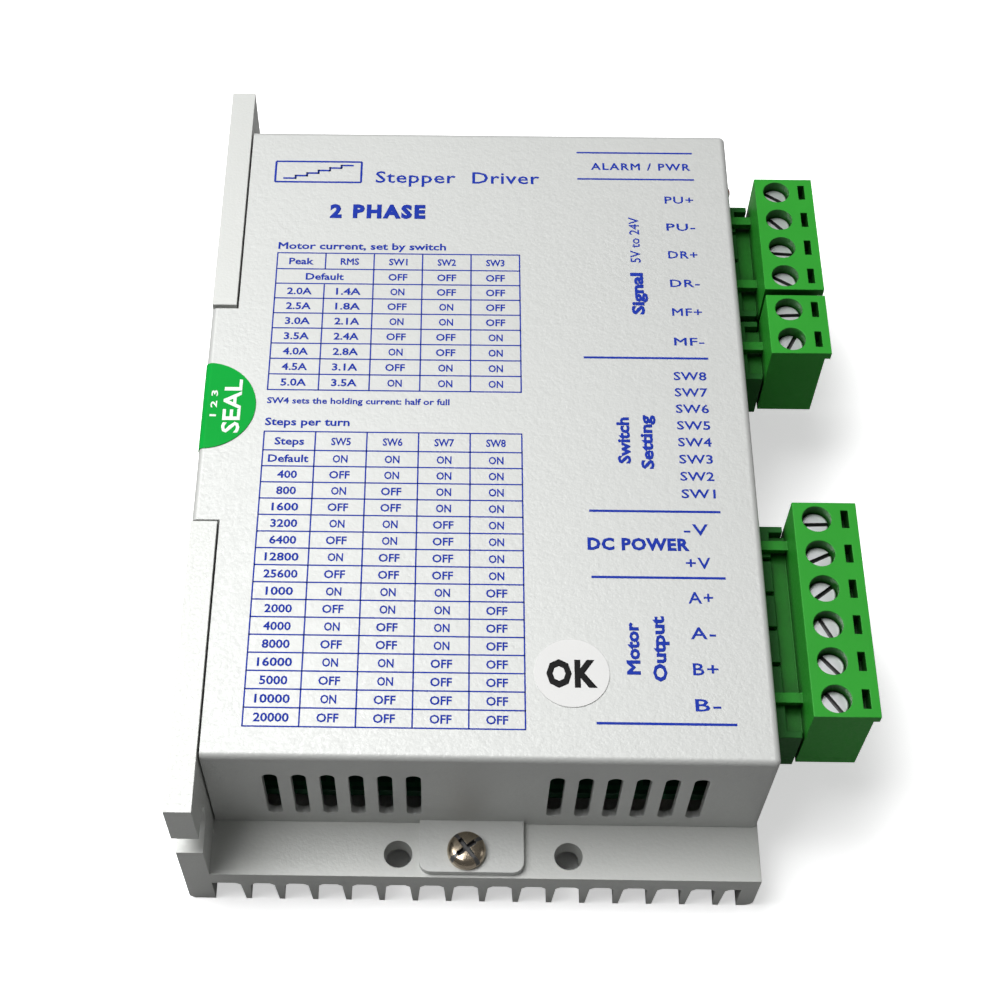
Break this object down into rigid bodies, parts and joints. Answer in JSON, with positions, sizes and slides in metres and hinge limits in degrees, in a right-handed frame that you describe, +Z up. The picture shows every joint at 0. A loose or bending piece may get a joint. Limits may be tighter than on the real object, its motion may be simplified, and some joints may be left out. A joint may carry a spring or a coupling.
{
  "type": "stepper driver module",
  "caption": "Flat stepper motor driver: finned aluminium heat sink with side wall, vented sheet cover, pluggable screw terminals and a switch bank along one side.",
  "frame": {"origin": "on the tip of the middle fin, midway between the four base holes, on the surface that the module stands on", "axes": "+X towards the terminals, +Y along the length towards the signal end, +Z up from the fin tips to the cover"},
  "size_m": [0.0853, 0.114, 0.0288],
  "materials": {
    "sink_aluminium": "satin blasted and clear anodised",
    "powder_coat": "fine matte powder coat",
    "nickel_screw": "nickel plated",
    "green_paper": "semi-gloss",
    "white_paper": "semi-gloss",
    "board_green": "solder mask",
    "spacer_brass": "turned",
    "chip_black": "moulded",
    "pad_grey": "soft silicone",
    "can_sleeve": "shrunk sleeve",
    "opto_white": "moulded",
    "tinned_pin": "tin plated",
    "switch_blue": "moulded",
    "lens_green": "diffused lens",
    "lens_red": "diffused lens",
    "slider_white": "moulded",
    "terminal_green": "moulded nylon",
    "tinned_strip": "tin plated",
    "terminal_screw": "zinc plated",
    "clamp_steel": "zinc plated"
  },
  "bodies": {
    "drive": {"heat_sink": "sink_aluminium", "cover": "powder_coat", "cover_end_screws": "nickel_screw", "cover_side_screw": "nickel_screw", "seal_label": "green_paper", "round_label": "white_paper", "circuit_board": "board_green", "board_spacers": "spacer_brass", "board_screws": "nickel_screw", "driver_chips": "chip_black", "gap_pads": "pad_grey", "bulk_capacitors": "can_sleeve", "controller_chip": "chip_black", "optocouplers": "opto_white", "header_pins": "tinned_pin", "switch_bank": "switch_blue", "led_power": "lens_green", "led_alarm": "lens_red", "signal_header": "terminal_green", "fault_header": "terminal_green", "power_header": "terminal_green"},
    "switch_slider_1": {"switch_slider_1": "slider_white"},
    "switch_slider_2": {"switch_slider_2": "slider_white"},
    "switch_slider_3": {"switch_slider_3": "slider_white"},
    "switch_slider_4": {"switch_slider_4": "slider_white"},
    "switch_slider_5": {"switch_slider_5": "slider_white"},
    "switch_slider_6": {"switch_slider_6": "slider_white"},
    "switch_slider_7": {"switch_slider_7": "slider_white"},
    "switch_slider_8": {"switch_slider_8": "slider_white"},
    "signal_plug": {"signal_plug": "terminal_green", "signal_contacts": "tinned_strip"},
    "signal_screw_1": {"signal_screw_1": "terminal_screw"},
    "signal_clamp_1": {"signal_clamp_1": "clamp_steel"},
    "signal_screw_2": {"signal_screw_2": "terminal_screw"},
    "signal_clamp_2": {"signal_clamp_2": "clamp_steel"},
    "signal_screw_3": {"signal_screw_3": "terminal_screw"},
    "signal_clamp_3": {"signal_clamp_3": "clamp_steel"},
    "signal_screw_4": {"signal_screw_4": "terminal_screw"},
    "signal_clamp_4": {"signal_clamp_4": "clamp_steel"},
    "fault_plug": {"fault_plug": "terminal_green", "fault_contacts": "tinned_strip"},
    "fault_screw_1": {"fault_screw_1": "terminal_screw"},
    "fault_clamp_1": {"fault_clamp_1": "clamp_steel"},
    "fault_screw_2": {"fault_screw_2": "terminal_screw"},
    "fault_clamp_2": {"fault_clamp_2": "clamp_steel"},
    "power_plug": {"power_plug": "terminal_green", "power_contacts": "tinned_strip"},
    "power_screw_1": {"power_screw_1": "terminal_screw"},
    "power_clamp_1": {"power_clamp_1": "clamp_steel"},
    "power_screw_2": {"power_screw_2": "terminal_screw"},
    "power_clamp_2": {"power_clamp_2": "clamp_steel"},
    "power_screw_3": {"power_screw_3": "terminal_screw"},
    "power_clamp_3": {"power_clamp_3": "clamp_steel"},
    "power_screw_4": {"power_screw_4": "terminal_screw"},
    "power_clamp_4": {"power_clamp_4": "clamp_steel"},
    "power_screw_5": {"power_screw_5": "terminal_screw"},
    "power_clamp_5": {"power_clamp_5": "clamp_steel"},
    "power_screw_6": {"power_screw_6": "terminal_screw"},
    "power_clamp_6": {"power_clamp_6": "clamp_steel"}
  },
  "joints": [
    {"name": "switch_1_slide", "type": "slide", "parent": "drive", "child": "switch_slider_1", "axis": [0, 0, 1], "range_m": [0, 0.0016]},
    {"name": "switch_2_slide", "type": "slide", "parent": "drive", "child": "switch_slider_2", "axis": [0, 0, 1], "range_m": [0, 0.0016]},
    {"name": "switch_3_slide", "type": "slide", "parent": "drive", "child": "switch_slider_3", "axis": [0, 0, 1], "range_m": [0, 0.0016]},
    {"name": "switch_4_slide", "type": "slide", "parent": "drive", "child": "switch_slider_4", "axis": [0, 0, 1], "range_m": [0, 0.0016]},
    {"name": "switch_5_slide", "type": "slide", "parent": "drive", "child": "switch_slider_5", "axis": [0, 0, 1], "range_m": [0, 0.0016]},
    {"name": "switch_6_slide", "type": "slide", "parent": "drive", "child": "switch_slider_6", "axis": [0, 0, 1], "range_m": [0, 0.0016]},
    {"name": "switch_7_slide", "type": "slide", "parent": "drive", "child": "switch_slider_7", "axis": [0, 0, 1], "range_m": [0, 0.0016]},
    {"name": "switch_8_slide", "type": "slide", "parent": "drive", "child": "switch_slider_8", "axis": [0, 0, 1], "range_m": [0, 0.0016]},
    {"name": "signal_plug_pull", "type": "slide", "parent": "drive", "child": "signal_plug", "axis": [1, 0, 0], "range_m": [0, 0.012]},
    {"name": "signal_screw_1_turn", "type": "hinge", "parent": "signal_plug", "child": "signal_screw_1", "pos_m": [0.04165, 0.0394, 0.0252], "axis": [0, 0, -1], "range_deg": [0, 1368]},
    {"name": "signal_clamp_1_rise", "type": "slide", "parent": "signal_plug", "child": "signal_clamp_1", "axis": [0, 0, 1], "range_m": [0, 0.0019]},
    {"name": "signal_screw_2_turn", "type": "hinge", "parent": "signal_plug", "child": "signal_screw_2", "pos_m": [0.04165, 0.03432, 0.0252], "axis": [0, 0, -1], "range_deg": [0, 1368]},
    {"name": "signal_clamp_2_rise", "type": "slide", "parent": "signal_plug", "child": "signal_clamp_2", "axis": [0, 0, 1], "range_m": [0, 0.0019]},
    {"name": "signal_screw_3_turn", "type": "hinge", "parent": "signal_plug", "child": "signal_screw_3", "pos_m": [0.04165, 0.02924, 0.0252], "axis": [0, 0, -1], "range_deg": [0, 1368]},
    {"name": "signal_clamp_3_rise", "type": "slide", "parent": "signal_plug", "child": "signal_clamp_3", "axis": [0, 0, 1], "range_m": [0, 0.0019]},
    {"name": "signal_screw_4_turn", "type": "hinge", "parent": "signal_plug", "child": "signal_screw_4", "pos_m": [0.04165, 0.02416, 0.0252], "axis": [0, 0, -1], "range_deg": [0, 1368]},
    {"name": "signal_clamp_4_rise", "type": "slide", "parent": "signal_plug", "child": "signal_clamp_4", "axis": [0, 0, 1], "range_m": [0, 0.0019]},
    {"name": "fault_plug_pull", "type": "slide", "parent": "drive", "child": "fault_plug", "axis": [1, 0, 0], "range_m": [0, 0.012]},
    {"name": "fault_screw_1_turn", "type": "hinge", "parent": "fault_plug", "child": "fault_screw_1", "pos_m": [0.04165, 0.0183, 0.0252], "axis": [0, 0, -1], "range_deg": [0, 1368]},
    {"name": "fault_clamp_1_rise", "type": "slide", "parent": "fault_plug", "child": "fault_clamp_1", "axis": [0, 0, 1], "range_m": [0, 0.0019]},
    {"name": "fault_screw_2_turn", "type": "hinge", "parent": "fault_plug", "child": "fault_screw_2", "pos_m": [0.04165, 0.01322, 0.0252], "axis": [0, 0, -1], "range_deg": [0, 1368]},
    {"name": "fault_clamp_2_rise", "type": "slide", "parent": "fault_plug", "child": "fault_clamp_2", "axis": [0, 0, 1], "range_m": [0, 0.0019]},
    {"name": "power_plug_pull", "type": "slide", "parent": "drive", "child": "power_plug", "axis": [1, 0, 0], "range_m": [0, 0.012]},
    {"name": "power_screw_1_turn", "type": "hinge", "parent": "power_plug", "child": "power_screw_1", "pos_m": [0.04225, -0.0155, 0.0252], "axis": [0, 0, -1], "range_deg": [0, 1368]},
    {"name": "power_clamp_1_rise", "type": "slide", "parent": "power_plug", "child": "power_clamp_1", "axis": [0, 0, 1], "range_m": [0, 0.0019]},
    {"name": "power_screw_2_turn", "type": "hinge", "parent": "power_plug", "child": "power_screw_2", "pos_m": [0.04225, -0.02058, 0.0252], "axis": [0, 0, -1], "range_deg": [0, 1368]},
    {"name": "power_clamp_2_rise", "type": "slide", "parent": "power_plug", "child": "power_clamp_2", "axis": [0, 0, 1], "range_m": [0, 0.0019]},
    {"name": "power_screw_3_turn", "type": "hinge", "parent": "power_plug", "child": "power_screw_3", "pos_m": [0.04225, -0.02566, 0.0252], "axis": [0, 0, -1], "range_deg": [0, 1368]},
    {"name": "power_clamp_3_rise", "type": "slide", "parent": "power_plug", "child": "power_clamp_3", "axis": [0, 0, 1], "range_m": [0, 0.0019]},
    {"name": "power_screw_4_turn", "type": "hinge", "parent": "power_plug", "child": "power_screw_4", "pos_m": [0.04225, -0.03074, 0.0252], "axis": [0, 0, -1], "range_deg": [0, 1368]},
    {"name": "power_clamp_4_rise", "type": "slide", "parent": "power_plug", "child": "power_clamp_4", "axis": [0, 0, 1], "range_m": [0, 0.0019]},
    {"name": "power_screw_5_turn", "type": "hinge", "parent": "power_plug", "child": "power_screw_5", "pos_m": [0.04225, -0.03582, 0.0252], "axis": [0, 0, -1], "range_deg": [0, 1368]},
    {"name": "power_clamp_5_rise", "type": "slide", "parent": "power_plug", "child": "power_clamp_5", "axis": [0, 0, 1], "range_m": [0, 0.0019]},
    {"name": "power_screw_6_turn", "type": "hinge", "parent": "power_plug", "child": "power_screw_6", "pos_m": [0.04225, -0.0409, 0.0252], "axis": [0, 0, -1], "range_deg": [0, 1368]},
    {"name": "power_clamp_6_rise", "type": "slide", "parent": "power_plug", "child": "power_clamp_6", "axis": [0, 0, 1], "range_m": [0, 0.0019]}
  ],
  "couplings": [
    {"joint": "signal_screw_1_turn", "follows": "signal_clamp_1_rise", "rad_per_m": 12566},
    {"joint": "signal_screw_2_turn", "follows": "signal_clamp_2_rise", "rad_per_m": 12566},
    {"joint": "signal_screw_3_turn", "follows": "signal_clamp_3_rise", "rad_per_m": 12566},
    {"joint": "signal_screw_4_turn", "follows": "signal_clamp_4_rise", "rad_per_m": 12566},
    {"joint": "fault_screw_1_turn", "follows": "fault_clamp_1_rise", "rad_per_m": 12566},
    {"joint": "fault_screw_2_turn", "follows": "fault_clamp_2_rise", "rad_per_m": 12566},
    {"joint": "power_screw_1_turn", "follows": "power_clamp_1_rise", "rad_per_m": 12566},
    {"joint": "power_screw_2_turn", "follows": "power_clamp_2_rise", "rad_per_m": 12566},
    {"joint": "power_screw_3_turn", "follows": "power_clamp_3_rise", "rad_per_m": 12566},
    {"joint": "power_screw_4_turn", "follows": "power_clamp_4_rise", "rad_per_m": 12566},
    {"joint": "power_screw_5_turn", "follows": "power_clamp_5_rise", "rad_per_m": 12566},
    {"joint": "power_screw_6_turn", "follows": "power_clamp_6_rise", "rad_per_m": 12566}
  ]
}
